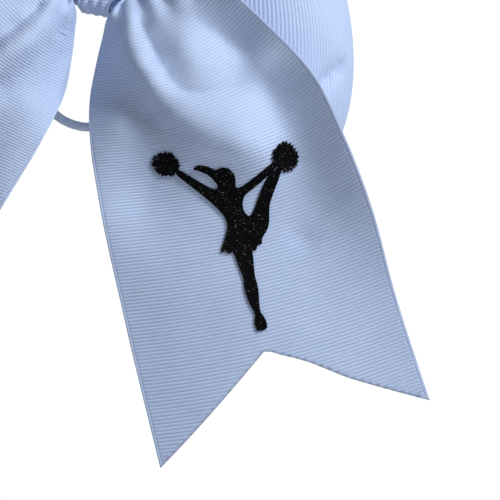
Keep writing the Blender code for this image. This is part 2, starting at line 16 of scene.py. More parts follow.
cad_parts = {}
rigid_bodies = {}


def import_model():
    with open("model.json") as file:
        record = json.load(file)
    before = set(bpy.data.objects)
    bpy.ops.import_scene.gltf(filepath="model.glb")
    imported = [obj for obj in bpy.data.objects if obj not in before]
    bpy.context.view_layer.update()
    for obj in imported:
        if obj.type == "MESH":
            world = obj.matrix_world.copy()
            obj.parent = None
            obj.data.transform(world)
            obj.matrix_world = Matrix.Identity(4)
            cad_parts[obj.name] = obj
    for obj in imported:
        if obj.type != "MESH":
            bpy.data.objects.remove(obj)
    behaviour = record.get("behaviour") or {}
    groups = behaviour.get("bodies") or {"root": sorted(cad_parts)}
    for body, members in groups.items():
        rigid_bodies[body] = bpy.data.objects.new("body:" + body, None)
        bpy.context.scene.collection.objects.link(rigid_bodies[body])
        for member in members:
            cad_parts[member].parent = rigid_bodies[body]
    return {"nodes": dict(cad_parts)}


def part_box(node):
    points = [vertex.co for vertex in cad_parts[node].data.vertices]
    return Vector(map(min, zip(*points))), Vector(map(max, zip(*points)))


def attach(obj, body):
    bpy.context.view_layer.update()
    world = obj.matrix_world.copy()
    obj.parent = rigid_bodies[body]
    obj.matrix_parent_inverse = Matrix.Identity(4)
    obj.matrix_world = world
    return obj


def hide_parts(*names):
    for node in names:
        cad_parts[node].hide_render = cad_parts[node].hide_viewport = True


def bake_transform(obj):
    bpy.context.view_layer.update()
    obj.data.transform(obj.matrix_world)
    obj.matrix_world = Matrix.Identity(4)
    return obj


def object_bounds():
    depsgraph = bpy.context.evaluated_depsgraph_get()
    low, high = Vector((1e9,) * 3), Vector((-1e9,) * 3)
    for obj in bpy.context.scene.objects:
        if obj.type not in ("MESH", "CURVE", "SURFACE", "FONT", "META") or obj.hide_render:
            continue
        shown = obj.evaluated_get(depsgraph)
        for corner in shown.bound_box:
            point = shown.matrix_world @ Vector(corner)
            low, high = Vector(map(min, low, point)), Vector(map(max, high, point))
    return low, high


for obj in list(bpy.data.objects):
    bpy.data.objects.remove(obj, do_unlink=True)
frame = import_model()
cad_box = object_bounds()

MM = 0.001
TINY = 1e-9

# Main ribbon
RIBBON_WIDTH = 76.2
TAIL_LENGTH = 157.0
TAIL_END = 165.0
NOTCH_DEPTH = 27.1
NOTCH_SHARE = 0.482
NOTCH_WAVER = 1.0
NOTCH_WAVER_SHARE = 0.28
RIB_PITCH = 1.0
ROWS_PER_RIB = 5
CLOTH_HALF = 0.16
RIB_HEIGHT = 0.18
RIB_SHARPNESS = 0.75
SELVAGE_WIDTH = 0.85
SELVAGE_BLEND = 0.45
SELVAGE_LEVEL = 0.62
SELVAGE_RIB = 0.3
SELVAGE_GROOVE_DEPTH = 0.8
SELVAGE_GROOVE_WIDTH = 0.14
SELVAGE_HEM_WIDTH = 0.12
SELVAGE_STEPS = (0.0, 0.14, 0.35, 0.65, 0.85, 1.02, 1.25, 1.6)
TAIL_INNER_COLUMNS = 38
LOOP_INNER_COLUMNS = 34
SEAL_WIDTH = 0.7
SEAL_REACH = 1.4
SEAL_HEIGHT = 0.06

# Tail folds: the level that they stand out from, and how much deeper they are than in DRAPE
FOLD_LEVEL = -33.0
FOLD_RELIEF = 1.3
CREASE_STEPS = 60
CREASE_ROUNDING = 0.5

# Tail pleats beside the knot, and how the tail's end is tucked into it
TAIL_PLEATS_FROM = 128.0
TAIL_PLEATS_RISE = 20.0
TAIL_PLEAT_DEPTH = 1.5
TAIL_PLEAT_PITCH = 0.205
TAIL_PLEAT_START = 0.06
TUCK_FROM = 150.0
TUCK_Y = -23.7
TUCK_INWARD = 0.62
TUCK_NARROWING = 0.04
TUCK_PRESSING = 0.75
TUCK_PRESSED_AFTER = 6.0

# The uneven ripple of the left side: its height, its waves per mm in x and z, and their starts
RIPPLE = 0.9
RIPPLE_RATES = (0.081, 0.067)
RIPPLE_STARTS = (1.7, 2.3)
RIPPLE_FADES_AT = 140.0
RIPPLE_FADE = 30.0

# Loops
LOOP_PIVOT = (13.0, -16.0)
LOOP_ROOT_RADIUS = 3.9
LOOP_ROOT_HALF_HEIGHT = 10.0
LOOP_ROOT_Z = 1.0
LOOP_SAG = 3.8
LOOP_TILT = 16.0
LOOP_BULGE = 7.0
LOOP_BULGE_LEAN = 0.35
LOOP_OPENS_FROM_X = 10.0
LOOP_FULL_WIDTH_X = 52.0
LOOP_STEPS = 400
LOOP_ROOT_STEPS = 60
LOOP_PLEATS = 2.4
LOOP_PLEAT_DEPTH = 1.7
LOOP_PLEAT_OPENING = 0.25
LOOP_PLEATS_FROM_X = 12.0
LOOP_PLEATS_LENGTH = 34.0
LOOP_DENT = ((74.0, -16.0), (65.0, -27.5))
LOOP_DENT_DEPTH = 2.2
LOOP_DENT_BREADTH = 1.8
LOOP_DENT_INWARD = 0.7
EDGE_STEEPNESS = 1.6

# Knot
WRAP_RIBBON_WIDTH = 20.5
WRAP_DEPTH = 26.0
WRAP_HEIGHT = 32.0
WRAP_HALF_WIDTH = 9.5
WRAP_PINCHED_HALF_WIDTH = 4.4
WRAP_PINCH_FROM = 7.0
WRAP_PINCH_TO = 14.0
WRAP_CORNER = 3.4
WRAP_CORNER_STEPS = 8
WRAP_INSET = 0.45
WRAP_LAP = 12.0
WRAP_LAP_STEP = 0.85
WRAP_INNER_COLUMNS = 20
WRAP_CLOTH_HALF = 0.13
WRAP_RIB_HEIGHT = 0.14
WRAP_SEAL_HEIGHT = 0.05
WRAP_PLEATS = 1.75
WRAP_PLEAT_START = 0.5
WRAP_PLEAT_DEPTH = 0.12
WRAP_FRONT_PLEAT_DEPTH = 0.35
WRAP_TURNED_PLEAT_DEPTH = 0.1
KNOT_Y = -15.0
KNOT_SQUARENESS = 0.6
GATHER_HALF_LENGTH = 8.2
GATHER_HALF_DEPTH = 7.5
GATHER_HALF_HEIGHT = 12.5
GATHER_SWELL = 1.7
GATHER_RINGS = 83
GATHER_STEPS = 288
GATHER_PLEATS = 18
GATHER_PLEAT_DEPTH = 0.55
WAIST_HALF_LENGTH = 2.1
WAIST_SLOPE = 1.2
WAIST_DEPTH = 1.3

# Ponytail elastic
ELASTIC_DIAMETER = 2.7
ELASTIC_Y = -3.6
ELASTIC_EXIT_Z = -12.5
ELASTIC_RINGS = 480
ELASTIC_HELD_RINGS = 66
TUBE_STEPS = 30
YARN_HEIGHT = 0.07
YARN_TURN_LENGTH = 7.0
YARNS = 5
TUBE_END_RADIUS = 0.86
TUBE_END_LENGTH = 0.3

# Glitter decal on the right tail
DECAL_PLACE = (38.3, 58.7)
DECAL_TURN = -2.6
DECAL_THICKNESS = 0.5
DECAL_GAP = 0.04
DECAL_CUT_SPACING = 1.6
DECAL_SPAN = ((-22.0, 23.0), (-26.0, 33.0))
DECAL_WELD = 0.005
DECAL_SHARP_ANGLE = 40.0
DECAL_SMOOTHINGS = 2
CORNER_CUT = 0.22

# Camera, light and floor
CAMERA_CENTRE = (55.4, -74.1)
CAMERA_ROLL = 10.3
CAMERA_DISTANCE = 771.6
CAMERA_LENS = 200.0
CAMERA_SENSOR = 36.0
TAIL_PLANE_Y = -31.0
LIGHT_AIM_SHARE = 0.6
AMBIENT = 0.07
BACKDROP = 1.05
FLOOR_SIZE = 6.0
FLOOR_DROP = 0.02

# Ribbon colours on its ribs and in its grooves, where it is darker as painted shade
RIBBON_GROOVE_SHADE = (0.44, 0.54, 0.78)
RIBBON_CREST = (0.63, 0.74, 0.98)

# Right tail: (distance from the tips along the ribbon, x, z) down its two selvages
INNER_SELVAGE = (
    (0.0, 41.7, -138.4), (40.0, 25.2, -101.1), (78.0, 11.6, -67.7), (96.0, 6.8, -54.0),
    (115.0, 3.6, -39.5), (126.0, 3.6, -30.5), (137.0, 4.1, -22.5), (147.0, 4.9, -16.5),
    (157.0, 9.4, -10.5),
)
OUTER_SELVAGE = (
    (0.0, 112.1, -106.3), (31.0, 97.3, -78.9), (56.0, 86.3, -56.5), (77.0, 75.2, -38.7),
    (96.0, 63.8, -23.5), (115.0, 48.1, -11.6), (128.0, 37.0, -4.6), (143.0, 24.0, 2.8),
    (157.0, 11.8, 7.5),
)
# How steeply a rib leaves the inner selvage and meets the outer one, in degrees
RIB_SLOPES = (
    (0.0, 17.0, 31.0), (50.0, 16.0, 36.0), (78.0, 15.0, 46.0), (96.0, 12.0, 50.0),
    (115.0, 6.0, 55.0), (128.0, 10.0, 62.0), (143.0, 40.0, 75.0), (157.0, 88.0, 88.0),
)
# Where the tail drapes: (x, z, y) of points that its cloth passes through
DRAPE = (
    # the open lower part
    (42.0, -138.0, -29.5), (77.0, -122.0, -31.5), (111.0, -106.0, -30.5),
    (24.0, -93.0, -30.5), (38.0, -90.0, -31.8), (62.0, -88.0, -32.2), (97.0, -79.0, -31.5),
    (11.0, -62.4, -32.3), (14.5, -72.0, -33.6), (24.0, -66.0, -32.2), (45.0, -68.0, -33.0),
    (36.0, -61.0, -33.9), (18.0, -57.0, -32.8),
    # the deep hollow beside the knot
    (4.2, -23.5, -24.5), (3.7, -31.0, -24.5), (4.6, -42.0, -26.5), (7.0, -53.0, -31.0),
    (7.0, -30.0, -27.0), (9.0, -37.0, -28.8), (12.5, -46.0, -32.6),
    # the foot of the roll that leaves the knot
    (6.0, -22.0, -27.5), (8.6, -27.5, -30.5), (12.3, -33.2, -33.2), (16.0, -38.2, -34.1),
    (20.5, -41.9, -35.0), (24.0, -47.0, -35.3), (29.0, -50.0, -35.8), (34.5, -53.0, -36.1),
    (41.0, -54.0, -36.1), (48.0, -54.0, -36.1),
    # the crest of the roll, which runs out across the tail
    (8.7, -17.2, -31.5), (12.3, -23.5, -35.6), (15.5, -29.0, -38.3), (19.3, -33.4, -39.1),
    (23.2, -37.7, -39.4), (28.3, -41.0, -40.1), (34.2, -43.4, -40.6), (40.8, -45.2, -40.5),
    (47.0, -46.4, -40.1), (53.5, -47.3, -38.2),
    # the far side of the roll
    (17.3, -26.5, -37.3), (21.7, -30.5, -38.5), (26.3, -33.5, -38.7), (45.0, -37.0, -38.8),
    (50.0, -41.0, -38.6), (38.0, -37.0, -39.7), (46.0, -34.0, -37.4), (52.0, -38.0, -37.0),
    # the crease above the roll
    (9.9, -11.8, -27.5), (14.9, -19.0, -33.3), (19.7, -25.2, -35.7), (23.5, -30.0, -37.1),
    (27.6, -32.5, -38.0), (33.8, -32.5, -38.6),
    # the broad upper fold
    (13.0, -11.0, -29.0), (17.0, -15.3, -33.0), (21.7, -19.3, -35.3), (27.0, -22.5, -37.4),
    (31.0, -26.8, -37.7), (33.0, -23.5, -36.7), (35.0, -21.0, -35.6), (38.0, -26.5, -36.7),
    # the valley inside the outer selvage
    (26.0, -13.0, -34.9), (30.5, -14.8, -35.2), (37.5, -17.8, -34.2), (43.5, -20.0, -34.4),
    (43.5, -28.0, -36.1), (48.5, -23.5, -36.8), (51.0, -29.0, -35.5), (55.5, -33.0, -35.5),
    (58.0, -40.0, -35.9),
    (63.0, -47.0, -34.5), (71.0, -58.0, -33.0), (80.0, -70.0, -32.0),
    # the outer selvage, which curls forward
    (24.0, 2.8, -32.5), (31.0, -1.5, -36.5), (39.1, -6.4, -38.7), (47.3, -10.6, -38.4),
    (56.1, -16.0, -39.3), (63.4, -23.2, -40.3), (68.7, -30.7, -40.6), (73.2, -38.4, -39.8),
    (79.3, -50.0, -37.5), (86.0, -60.2, -35.0),
    # its end at the knot
    (11.8, 7.5, -25.2), (9.8, -10.0, -25.2),
)
# Sharp folds in the tail's cloth: (x, z, depth in mm, half-breadth in mm) along each line
CREASES = (
    # the crease above the roll
    ((9.9, -11.8, 0.5, 0.9), (14.9, -19.0, 1.3, 1.0), (19.7, -25.5, 1.7, 1.1),
     (23.5, -30.5, 1.7, 1.2), (27.2, -33.4, 1.6, 1.4), (31.5, -34.6, 1.5, 1.6),
     (36.0, -33.9, 1.3, 1.9), (42.4, -31.2, 0.9, 2.3), (49.0, -28.0, 0.0, 3.0)),
    # the foot of the roll
    ((5.7, -18.2, 1.0, 1.2), (9.1, -26.0, 1.9, 1.7), (14.9, -34.8, 1.9, 2.0),
     (21.0, -41.6, 1.3, 2.2), (31.0, -46.6, 0.9, 2.4), (43.0, -48.7, 0.6, 2.6),
     (53.0, -49.5, 0.0, 3.0)),
    # the valley inside the outer selvage
    ((26.0, -13.0, 0.2, 3.0), (36.0, -16.5, 0.9, 3.4), (45.0, -22.0, 1.0, 3.8),
     (53.0, -31.0, 0.7, 4.0), (60.0, -42.0, 0.2, 4.0)),
    # a slight dent beside the silhouette
    ((64.5, -64.0, 0.0, 3.0), (69.5, -68.5, 1.0, 3.4), (75.0, -71.0, 0.0, 3.0)),
)
# Right loop seen from above: (x, y) of the cloth round from the front of its root to the back
LOOP_PLAN = (
    (13.0, -19.9), (22.0, -25.5), (34.0, -28.8), (47.0, -28.0), (57.0, -23.0), (62.2, -17.8),
    (63.8, -14.5), (62.2, -11.2), (55.0, -8.6), (42.0, -7.6), (28.0, -8.8), (13.0, -12.1),
)
# The elastic's free loop: (x, z) from its right exit round to its left one
ELASTIC_ROUTE = (
    (8.6, -12.5), (10.4, -12.8), (13.0, -14.8), (14.4, -18.6), (15.0, -25.0), (14.6, -34.0),
    (11.2, -42.6), (3.4, -47.6), (-5.4, -46.4), (-12.0, -39.6), (-14.8, -30.0), (-14.9, -22.0),
    (-14.0, -16.8), (-12.0, -13.8), (-10.0, -12.7), (-8.6, -12.5),
)

# Cheerleader silhouette in a heel stretch: (across, up), anticlockwise from the left hand
FIGURE = (
    (-15.2, 24.7), (-10.6, 18.9), (-7.0, 14.2), (-5.3, 11.6), (-3.7, 8.6), (-3.5, 5.6),
    (-5.2, 2.0), (-7.3, -2.0), (-5.7, -1.6), (-4.9, -2.8), (-3.6, -2.0), (-3.0, -6.5),
    (-2.2, -10.6), (-2.6, -13.4), (-2.1, -17.4), (-0.8, -21.2), (-1.6, -23.4), (-1.5, -25.3),
    (-1.2, -26.1), (1.0, -26.0), (1.8, -25.5), (1.7, -22.8), (0.6, -20.8), (0.9, -18.0),
    (1.4, -13.7), (1.0, -10.2), (1.7, -4.3), (1.6, -2.6), (2.9, -3.1), (3.4, -1.5),
    (4.9, -1.5), (5.2, 0.3), (7.3, 2.5), (8.3, 4.6), (9.1, 8.0), (9.7, 10.1),
    (12.0, 13.8), (14.6, 17.4), (16.2, 20.0), (15.0, 20.2), (11.2, 18.4), (8.0, 14.4),
    (5.3, 9.9), (3.3, 7.2), (1.9, 9.4), (2.2, 12.2), (3.3, 14.5), (8.0, 16.8),
    (15.8, 21.1), (15.0, 22.6), (7.3, 19.0), (3.1, 17.0), (1.3, 17.0), (1.9, 19.2),
    (2.0, 21.5), (0.8, 23.5), (-1.2, 24.3), (-3.2, 23.6), (-5.0, 25.3), (-7.6, 26.2),
    (-9.8, 25.4), (-7.4, 24.2), (-5.4, 22.6), (-4.2, 20.6), (-3.4, 18.6), (-4.6, 17.2),
    (-9.1, 21.2), (-14.2, 26.3),
)
POMPOMS = ((-17.2, 28.0), (18.0, 22.1))
POMPOM_RADII = (4.4, 3.8)
POMPOM_SPIKES = 22
POMPOM_UNEVENNESS = 0.36
POMPOM_RAGGEDNESS = (-0.4, 0.35)


# ---------------------------------------------------------------- shapes shared with the CAD


def smoothstep(value):
    value = np.clip(value, 0.0, 1.0)
    return value * value * (3.0 - 2.0 * value)


def hermite(start, end, start_slope, end_slope, part):
    square, cube = part**2, part**3
    return (
        (2 * cube - 3 * square + 1) * start
        + (cube - 2 * square + part) * start_slope
        + (3 * square - 2 * cube) * end
        + (cube - square) * end_slope
    )


def follow(table, key):
    """A smooth curve through rows of (key, values...), read at one or more keys."""
    table = np.asarray(table, float)
    keys, values = table[:, 0], table[:, 1:]
    slopes = np.gradient(values, keys, axis=0)
    key = np.asarray(key, float)
    row = np.clip(np.searchsorted(keys, key) - 1, 0, len(keys) - 2)
    span = (keys[row + 1] - keys[row])[..., None]
    part = (key - keys[row])[..., None] / span
    return hermite(values[row], values[row + 1], slopes[row] * span, slopes[row + 1] * span, part)


def smooth_path(points, count):
    """Points evenly spread along a smooth curve through the given ones."""
    points = np.asarray(points, float)
    lengths = np.linalg.norm(np.diff(points, axis=0), axis=1)
    keys = np.concatenate([[0.0], np.cumsum(lengths)])
    return follow(np.column_stack([keys, points]), np.linspace(0.0, keys[-1], count))


def even_path(points, count):
    """The same points spread so that the steps between them have one length."""
    lengths = np.linalg.norm(np.diff(points, axis=0), axis=1)
    keys = np.concatenate([[0.0], np.cumsum(lengths)])
    wanted = np.linspace(0.0, keys[-1], count)
    return np.column_stack([np.interp(wanted, keys, axis) for axis in points.T])


def thin_plate(distance):
    return distance**2 * np.log(distance + TINY)


def fit_drape():
    """Weights of the thin plate that passes through the DRAPE points."""
    points = np.asarray(DRAPE, float)
    places, depths = points[:, :2], points[:, 2]
    between = np.linalg.norm(places[:, None] - places[None], axis=2)
    flat = np.column_stack([np.ones(len(points)), places])
    system = np.block([[thin_plate(between), flat], [flat.T, np.zeros((3, 3))]])
    return np.linalg.solve(system, np.concatenate([depths, np.zeros(3)]))


DRAPE_WEIGHTS = fit_drape()


def drape_depth(x, z):
    places = np.asarray(DRAPE, float)[:, :2]
    away = np.sqrt((x[..., None] - places[:, 0]) ** 2 + (z[..., None] - places[:, 1]) ** 2)
    count = len(places)
    plane = DRAPE_WEIGHTS[count] + DRAPE_WEIGHTS[count + 1] * x + DRAPE_WEIGHTS[count + 2] * z
    depth = thin_plate(away) @ DRAPE_WEIGHTS[:count] + plane
    return FOLD_LEVEL + FOLD_RELIEF * (depth - FOLD_LEVEL)


def crease_depth(x, z):
    """How far the sharp folds push the cloth back, at points of the tail."""
    pushed = np.zeros_like(x)
    for crease in CREASES:
        line = smooth_path(crease, CREASE_STEPS)
        away_x = x[..., None] - line[:, 0]
        away_z = z[..., None] - line[:, 1]
        away = away_x**2 + away_z**2
        nearest = np.argmin(away, axis=-1)
        distance = np.sqrt(np.take_along_axis(away, nearest[..., None], axis=-1)[..., 0])
        depth, breadth = line[nearest, 2], line[nearest, 3]
        rounded = np.sqrt(distance**2 + CREASE_ROUNDING**2) - CREASE_ROUNDING
        pushed = pushed + depth * np.exp(-rounded / breadth)
    return pushed


def cad_tail_surface(across, along):
    """Points of the right tail's cloth. across is 0 to 1 from the inner selvage to the outer."""
    inner, outer = follow(INNER_SELVAGE, along), follow(OUTER_SELVAGE, along)
    slopes = np.radians(follow(RIB_SLOPES, along))
    chord = np.linalg.norm(outer - inner, axis=-1, keepdims=True)
    leave = chord * np.stack([np.cos(slopes[..., 0]), np.sin(slopes[..., 0])], axis=-1)
    arrive = chord * np.stack([np.cos(slopes[..., 1]), np.sin(slopes[..., 1])], axis=-1)
    place = hermite(inner, outer, leave, arrive, across[..., None])
    x, z = place[..., 0], place[..., 1]
    return np.stack([x, drape_depth(x, z), z], axis=-1)


# ---------------------------------------------------------------- cloth meshes


def ribbon_columns(width, inner_columns):
    """Distances across a ribbon, close together in its two selvages."""
    edge = np.array(SELVAGE_STEPS)
    middle = np.linspace(edge[-1], width - edge[-1], inner_columns + 1)[1:-1]
    return np.concatenate([edge, middle, width - edge[::-1]])


def rib_height(along):
    return np.abs(np.sin(np.pi * along / RIB_PITCH)) ** RIB_SHARPNESS


def rib_relief(across, along, width):
    """Height of the ribs' relief from 0 in a groove to 1 on a rib, with a plainer woven selvage.
    The ribbon's material also darkens its colour where this is low, as painted shade in the
    grooves, in the selvage's groove and at its hem.
    """
    rib = rib_height(along)
    edge = np.minimum(across, width - across)
    inside = smoothstep((edge - SELVAGE_WIDTH) / SELVAGE_BLEND)
    groove = np.exp(-(((edge - SELVAGE_WIDTH) / SELVAGE_GROOVE_WIDTH) ** 2))
    hem = np.exp(-((edge / SELVAGE_HEM_WIDTH) ** 2))
    border = SELVAGE_LEVEL + SELVAGE_RIB * rib
    woven = inside * rib + (1.0 - inside) * border
    return np.clip(woven - SELVAGE_GROOVE_DEPTH * groove - hem, 0.0, 1.0)


def surface_normals(surface, across, along, step=0.05):
    """Unit normals of a surface given as a function of (across, along) in millimetres."""
    beside = surface(across + step, along) - surface(across - step, along)
    above = surface(across, along + step) - surface(across, along - step)
    normal = np.cross(beside, above)
    return normal / np.linalg.norm(normal, axis=-1, keepdims=True)


def sheet_faces(index, closed):
    """Quads and triangles over a grid of vertex numbers, some of which may be the same."""
    if closed:
        index = np.vstack([index, index[:1]])
    quads = np.stack([index[:-1, :-1], index[:-1, 1:], index[1:, 1:], index[1:, :-1]], axis=-1)
    quads = quads.reshape(-1, 4)
    left_gone = quads[:, 0] == quads[:, 3]
    right_gone = quads[:, 1] == quads[:, 2]
    whole = quads[~left_gone & ~right_gone]
    right_triangles = quads[left_gone & ~right_gone][:, :3]
    left_triangles = quads[right_gone & ~left_gone][:, [0, 1, 3]]
    return whole, np.vstack([right_triangles, left_triangles])


def open_edges(whole, triangles):
    """Directed edges that only one face uses."""
    edges = np.vstack(
        [whole[:, [k, (k + 1) % 4]] for k in range(4)]
        + [triangles[:, [k, (k + 1) % 3]] for k in range(3)]
    ).astype(np.int64)
    size = edges.max() + 1
    forward = edges[:, 0] * size + edges[:, 1]
    backward = edges[:, 1] * size + edges[:, 0]
    return edges[~np.isin(forward, backward)]


def set_fact(mesh, fact, values):
    """Stores a number or a vector for each vertex, which the materials read."""
    values = np.asarray(values, np.float32)
    kind, field = ("FLOAT", "value") if values.ndim == 1 else ("FLOAT_VECTOR", "vector")
    mesh.attributes.new(fact, kind, "POINT").data.foreach_set(field, values.ravel())


def place_object(name, data):
    obj = bpy.data.objects.new(name, data)
    bpy.context.scene.collection.objects.link(obj)
    return obj


def cloth_object(name, base, normals, half, facts, finish, index=None, closed=False):
    """A closed woven sheet of changing thickness round a grid of points.

    facts maps an attribute's name to its value at each grid point: rib, seal and cloth, which
    is the place on the flat ribbon in millimetres.
    """
    rows, columns = base.shape[:2]
    if index is None:
        index = np.arange(rows * columns).reshape(rows, columns)
    whole, triangles = sheet_faces(index, closed)
    used, packed = np.unique(
        np.concatenate([whole.ravel(), triangles.ravel()]), return_inverse=True)
    whole = packed[:whole.size].reshape(-1, 4)
    triangles = packed[whole.size:].reshape(-1, 3)
    lift = (normals * half[..., None]).reshape(-1, 3)[used]
    middle = base.reshape(-1, 3)[used]
    count = len(used)
    rim = open_edges(whole, triangles)
    walls = np.column_stack([rim[:, 1], rim[:, 0], rim[:, 0] + count, rim[:, 1] + count])
    faces = (
        whole.tolist()
        + triangles.tolist()
        + (whole[:, ::-1] + count).tolist()
        + (triangles[:, ::-1] + count).tolist()
        + walls.tolist()
    )
    mesh = bpy.data.meshes.new(name)
    mesh.from_pydata((np.vstack([middle + lift, middle - lift]) * MM).tolist(), [], faces)
    for fact, values in facts.items():
        values = values.reshape(rows * columns, -1)[used]
        set_fact(mesh, fact, np.vstack([values, values]).squeeze())
    mesh.materials.append(finish)
    mesh.shade_smooth()
    return place_object(name, mesh)


def flat_place(across, along):
    return np.stack([across, along, np.zeros_like(across)], axis=-1)


def mirrored(base, normals, half, facts):
    """A right-hand ribbon's grids, made left-hand with their faces still outward."""
    base, normals = (grid[:, ::-1] * (-1.0, 1.0, 1.0) for grid in (base, normals))
    facts = {fact: values[:, ::-1] for fact, values in facts.items()}
    return base, normals, half[:, ::-1], facts


# ---------------------------------------------------------------- tails


def wander(x, z, seed):
    """A slow uneven ripple, so that the two sides of the bow aren't exact twins."""
    wave_x = np.sin(RIPPLE_RATES[0] * x + RIPPLE_STARTS[0] * seed)
    wave_z = np.sin(RIPPLE_RATES[1] * z + RIPPLE_STARTS[1] * seed)
    return RIPPLE * wave_x * wave_z


def tail_surface(seed):
    """The tail's cloth as a function of millimetres across and along it, into the knot."""

    def surface(across, along):
        share = across / RIBBON_WIDTH
        point = cad_tail_surface(share, np.minimum(along, TAIL_LENGTH))
        beyond = np.clip(along - TAIL_LENGTH, 0.0, None)
        pleat = smoothstep((along - TAIL_PLEATS_FROM) / TAIL_PLEATS_RISE)
        pleat = pleat * (1.0 - TUCK_PRESSING * smoothstep(beyond / TUCK_PRESSED_AFTER))
        wave = np.cos(math.tau * (share - TAIL_PLEAT_START) / TAIL_PLEAT_PITCH)
        ripple = smoothstep((RIPPLE_FADES_AT - along) / RIPPLE_FADE)
        tuck = smoothstep((along - TUCK_FROM) / (TAIL_END - TUCK_FROM))
        x, y, z = point[..., 0], point[..., 1], point[..., 2]
        y = y - TAIL_PLEAT_DEPTH * pleat * wave
        y = y + crease_depth(x, z)
        y = y + seed * wander(x, z, seed) * ripple
        y = y + (TUCK_Y - y) * tuck
        x = x - TUCK_INWARD * beyond
        z = z * (1.0 - TUCK_NARROWING * beyond)
        return np.stack([x, y, z], axis=-1)

    return surface


def notch_cut(share):
    """How far the V cut reaches up the ribbon; scissors wavered just past its point."""
    straight = np.where(share < NOTCH_SHARE, share / NOTCH_SHARE,
                        (1.0 - share) / (1.0 - NOTCH_SHARE))
    past = np.clip((share - NOTCH_SHARE) / NOTCH_WAVER_SHARE, 0.0, 1.0)
    return NOTCH_DEPTH * straight + NOTCH_WAVER * np.sin(math.pi * past) ** 2


def make_tail(name, side, seed, finish):
    surface = tail_surface(seed)
    column = ribbon_columns(RIBBON_WIDTH, TAIL_INNER_COLUMNS)
    row = np.arange(0.0, TAIL_END + TINY, RIB_PITCH / ROWS_PER_RIB)
    cut = notch_cut(column / RIBBON_WIDTH)
    first = np.searchsorted(row, cut, side="right") - 1
    along = np.maximum(row[:, None], cut[None, :])
    across = np.broadcast_to(column, along.shape)
    order = np.maximum(np.arange(len(row))[:, None], first[None, :])
    index = order * len(column) + np.arange(len(column))[None, :]
    base = surface(across, along)
    normals = surface_normals(surface, across, along)
    seal = np.clip(1.0 - (along - cut) / SEAL_WIDTH, 0.0, 1.0)
    rib = rib_relief(across, along, RIBBON_WIDTH) * (1.0 - smoothstep(seal * SEAL_REACH))
    half = CLOTH_HALF + RIB_HEIGHT * rib + SEAL_HEIGHT * seal
    facts = {"rib": rib, "seal": seal, "cloth": flat_place(across, along)}
    if side < 0:
        base, normals, half, facts = mirrored(base, normals, half, facts)
        order = order[:, ::-1]
        index = order * len(column) + np.arange(len(column))[None, :]
    return cloth_object(name, base, normals, half, facts, finish, index=index)


# ---------------------------------------------------------------- loops


def loop_dent(x, z):
    """A short slanting crease pressed into the front of a loop near its outer bend."""
    start, end = np.array(LOOP_DENT[0]), np.array(LOOP_DENT[1])
    length = np.linalg.norm(end - start)
    run = (end - start) / length
    ahead = (x - start[0]) * run[0] + (z - start[1]) * run[1]
    beside = (x - start[0]) * run[1] - (z - start[1]) * run[0]
    middle = np.clip(1.0 - np.abs(2.0 * ahead / length - 1.0), 0.0, None)
    fade = np.exp(-np.abs(beside) / LOOP_DENT_BREADTH)
    return LOOP_DENT_DEPTH * smoothstep(middle * EDGE_STEEPNESS) * fade


def loop_surface(seed):
    """The loop's cloth as a function of millimetres across it and along its closed path."""
    plan = smooth_path(LOOP_PLAN, LOOP_STEPS)
    turn = np.radians(np.linspace(90.0, 270.0, LOOP_ROOT_STEPS + 1)[1:-1])
    root = np.column_stack([
        LOOP_PIVOT[0] + LOOP_ROOT_RADIUS * np.cos(turn),
        LOOP_PIVOT[1] + LOOP_ROOT_RADIUS * np.sin(turn),
    ])
    plan = np.vstack([plan, root, plan[:1]])
    lengths = np.linalg.norm(np.diff(plan, axis=0), axis=1)
    keys = np.concatenate([[0.0], np.cumsum(lengths)])
    total = keys[-1]
    ribs = round(total / RIB_PITCH)

    def surface(across, along):
        key = (along * total / (ribs * RIB_PITCH)) % total
        x, y = np.interp(key, keys, plan[:, 0]), np.interp(key, keys, plan[:, 1])
        opening = (x - LOOP_OPENS_FROM_X) / (LOOP_FULL_WIDTH_X - LOOP_OPENS_FROM_X)
        opened = smoothstep(opening)
        half = LOOP_ROOT_HALF_HEIGHT + (RIBBON_WIDTH / 2 - LOOP_ROOT_HALF_HEIGHT) * opened
        share = 2.0 * across / RIBBON_WIDTH - 1.0
        side = share * half
        tilt = np.radians(LOOP_TILT) * opened
        bulge = LOOP_BULGE * opened * (1.0 - share**2) * (1.0 - LOOP_BULGE_LEAN * share)
        gather = 1.0 - smoothstep((x - LOOP_PLEATS_FROM_X) / LOOP_PLEATS_LENGTH)
        front = np.where(y < LOOP_PIVOT[1], -1.0, 1.0)
        pleat = gather * np.cos(math.tau * LOOP_PLEATS * share + 0.6 * seed)
        x = x - side * np.sin(tilt) + bulge
        z = LOOP_ROOT_Z - LOOP_SAG * opened + side * np.cos(tilt)
        y = y + LOOP_PLEAT_DEPTH * pleat * smoothstep(gather * EDGE_STEEPNESS)
        y = y + LOOP_PLEAT_OPENING * front * pleat
        y = y + 0.5 * seed * wander(2.0 * x, 2.0 * z, seed)
        dent = loop_dent(x, z) * smoothstep((LOOP_PIVOT[1] - y) / 3.0)
        return np.stack([x - LOOP_DENT_INWARD * dent, y + dent, z], axis=-1)

    return surface, ribs


def make_loop(name, side, seed, finish):
    surface, ribs = loop_surface(seed)
    column = ribbon_columns(RIBBON_WIDTH, LOOP_INNER_COLUMNS)
    row = np.arange(ribs * ROWS_PER_RIB) * RIB_PITCH / ROWS_PER_RIB
    across, along = np.meshgrid(column, row)
    base = surface(across, along)
    normals = surface_normals(surface, across, along)
    rib = rib_relief(across, along, RIBBON_WIDTH)
    half = CLOTH_HALF + RIB_HEIGHT * rib
    facts = {"rib": rib, "seal": np.zeros_like(rib), "cloth": flat_place(across, along)}
    if side < 0:
        base, normals, half, facts = mirrored(base, normals, half, facts)
    return cloth_object(name, base, normals, half, facts, finish, closed=True)


# ---------------------------------------------------------------- knot


